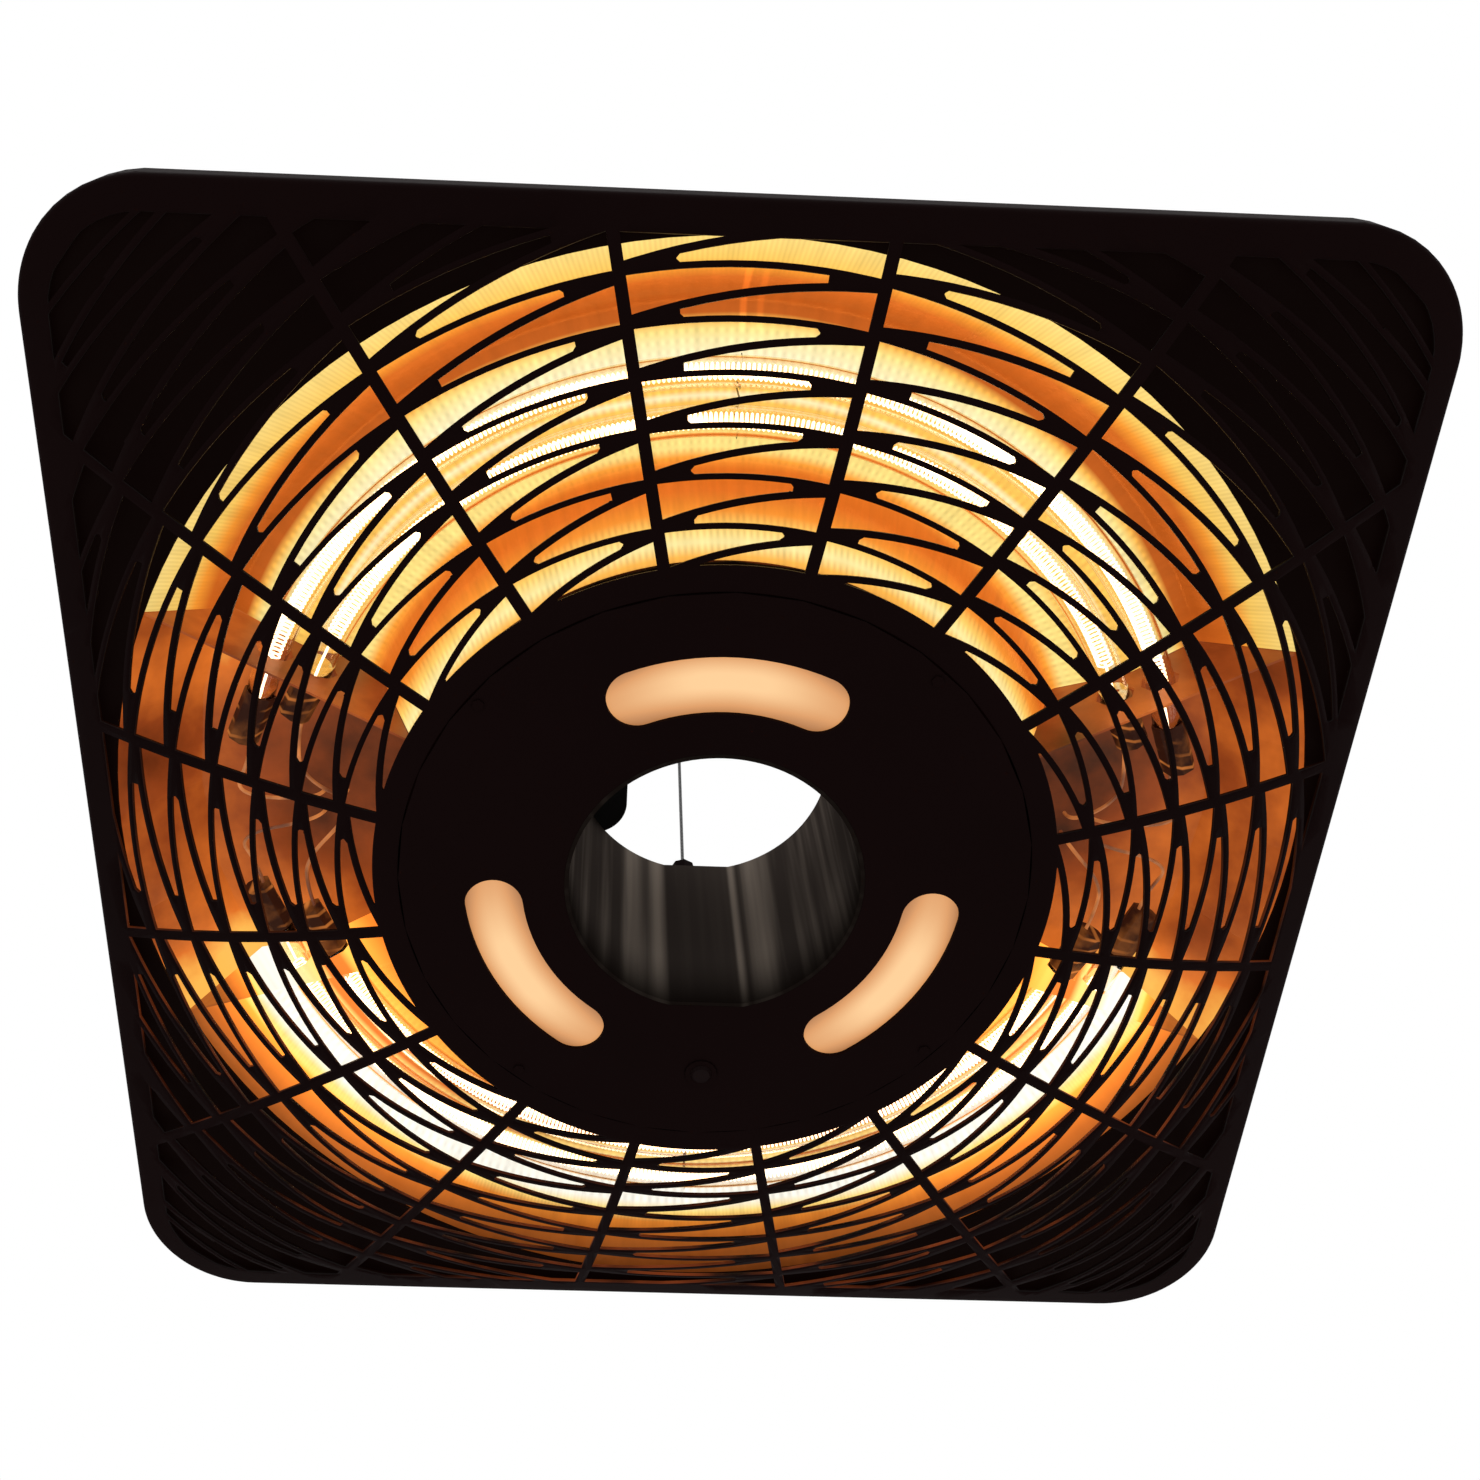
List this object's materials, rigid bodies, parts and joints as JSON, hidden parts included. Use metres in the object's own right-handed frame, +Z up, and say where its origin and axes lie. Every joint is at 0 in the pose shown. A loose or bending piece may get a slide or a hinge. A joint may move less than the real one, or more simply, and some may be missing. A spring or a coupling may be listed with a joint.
{
  "type": "ceiling mounted patio heater",
  "caption": "Square wire-hung radiant heater with curved quartz lamps behind a pressed slotted grille, an open centre tube and a ring of light windows.",
  "frame": {"origin": "centre of the ceiling face of the ceiling plate", "axes": "+Z up, out of the ceiling face; the rim's sides run along X and Y; +Y is away from the picture's viewer"},
  "size_m": [0.43, 0.43, 0.3598],
  "materials": {
    "black_paint": "satin powder coat",
    "reflector": "polished, finely hammered",
    "zinc_steel": "plain zinc sheet",
    "quartz": "clear",
    "filament": "glowing coil",
    "ceramic": "matt",
    "lamp_wire": "bare",
    "diffuser": "frosted, lit from behind",
    "circuit": "coated board",
    "black_plastic": "moulded",
    "white_plastic": "moulded",
    "steel_wire": "stranded",
    "nickel": "nickel plated",
    "dark_lens": "dark clear",
    "bezel": "satin"
  },
  "bodies": {
    "heater": {"board_posts": "zinc_steel", "ceiling_plate": "black_paint", "centre_tube": "black_paint", "chassis_frame": "zinc_steel", "control_board": "circuit", "diffuser_1": "diffuser", "diffuser_2": "diffuser", "diffuser_3": "diffuser", "end_wall_far_left": "reflector", "end_wall_far_right": "reflector", "end_wall_near_left": "reflector", "end_wall_near_right": "reflector", "filament_far_inner": "filament", "filament_far_outer": "filament", "filament_near_inner": "filament", "filament_near_outer": "filament", "gland_body": "black_plastic", "gland_nut": "black_plastic", "grille": "black_paint", "grip_body_1": "nickel", "grip_body_2": "nickel", "grip_body_3": "nickel", "heat_shield": "zinc_steel", "hub_carrier": "zinc_steel", "hub_cover": "black_paint", "hub_screws": "nickel", "lamp_caps_far_left": "ceramic", "lamp_caps_far_right": "ceramic", "lamp_caps_near_left": "ceramic", "lamp_caps_near_right": "ceramic", "lamp_clip_far": "lamp_wire", "lamp_clip_near": "lamp_wire", "led_board_1": "circuit", "led_board_2": "circuit", "led_board_3": "circuit", "led_driver": "black_plastic", "light_tray": "zinc_steel", "quartz_far_inner": "quartz", "quartz_far_outer": "quartz", "quartz_near_inner": "quartz", "quartz_near_outer": "quartz", "receiver_bezel": "bezel", "receiver_board": "circuit", "receiver_lens": "dark_lens", "reflector_far": "reflector", "reflector_near": "reflector", "suspension_wire_1": "steel_wire", "suspension_wire_2": "steel_wire", "suspension_wire_3": "steel_wire", "terminal_block": "white_plastic", "terminal_box": "black_plastic", "terminal_lid": "black_plastic", "top_cover": "black_paint", "wire_anchor_1": "nickel", "wire_anchor_2": "nickel", "wire_anchor_3": "nickel"},
    "plunger_1": {"grip_plunger_1": "nickel"},
    "plunger_2": {"grip_plunger_2": "nickel"},
    "plunger_3": {"grip_plunger_3": "nickel"}
  },
  "joints": [
    {"name": "grip_release_1", "type": "slide", "parent": "heater", "child": "plunger_1", "axis": [0.0069, -0.0993, 0.995], "range_m": [0, 0.003], "stiffness_N_per_m": 600, "springref_m": -0.001},
    {"name": "grip_release_2", "type": "slide", "parent": "heater", "child": "plunger_2", "axis": [0.0825, 0.0556, 0.995], "range_m": [0, 0.003], "stiffness_N_per_m": 600, "springref_m": -0.001},
    {"name": "grip_release_3", "type": "slide", "parent": "heater", "child": "plunger_3", "axis": [-0.0894, 0.0436, 0.995], "range_m": [0, 0.003], "stiffness_N_per_m": 600, "springref_m": -0.001}
  ]
}
